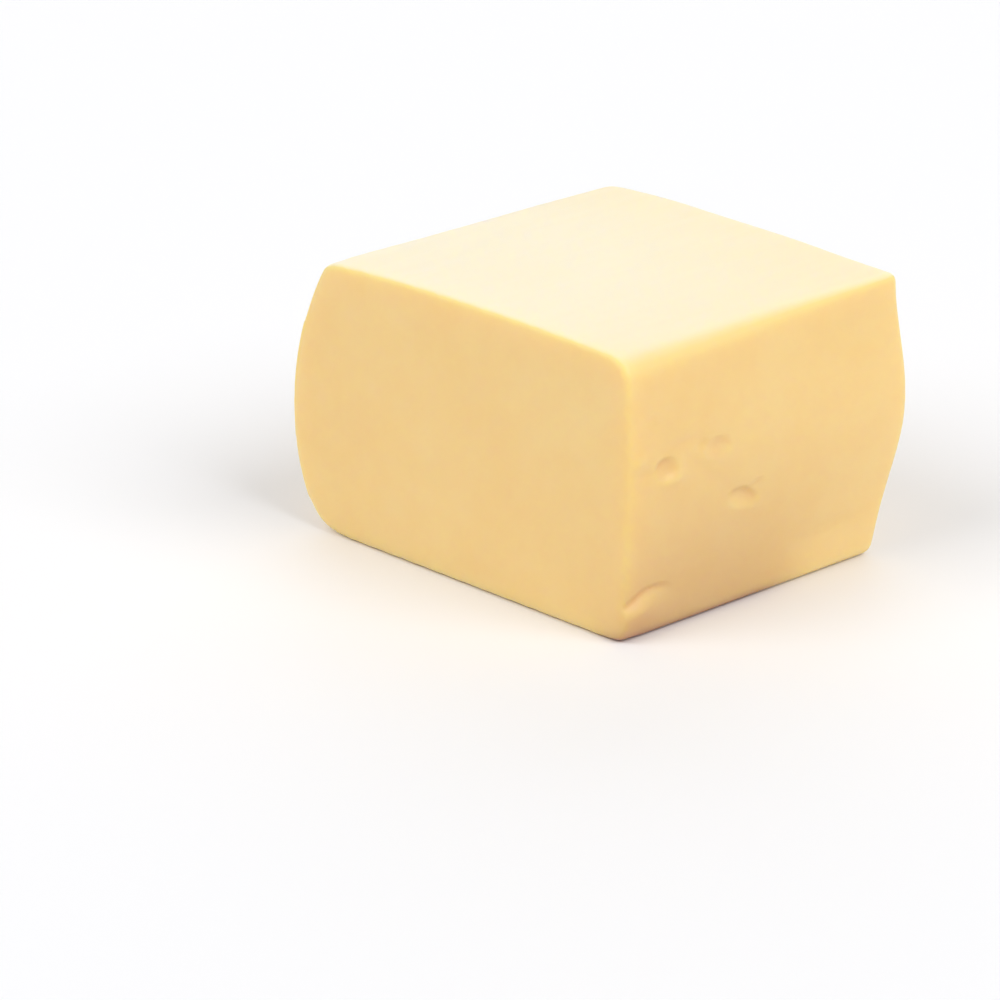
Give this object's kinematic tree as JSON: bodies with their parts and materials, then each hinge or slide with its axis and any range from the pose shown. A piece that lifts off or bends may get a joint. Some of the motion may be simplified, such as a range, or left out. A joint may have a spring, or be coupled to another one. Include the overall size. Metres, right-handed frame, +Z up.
{
  "type": "half loaf of mozzarella",
  "caption": "Half loaf of mozzarella cheese, a soft-edged block with bulging sides, one flat knife-cut face and a flat underside.",
  "frame": {"origin": "middle of the underside, under the centre of the bounding box", "axes": "+X across the cut face, to its right seen from in front of the cut, +Y along the loaf from the cut face to its own end, +Z up"},
  "size_m": [0.1652, 0.1388, 0.1025],
  "materials": {
    "cheese": "satin, slightly moist and translucent cream-yellow cheese"
  },
  "bodies": {
    "root": {"cheese_half_loaf": "cheese"}
  },
  "joints": []
}
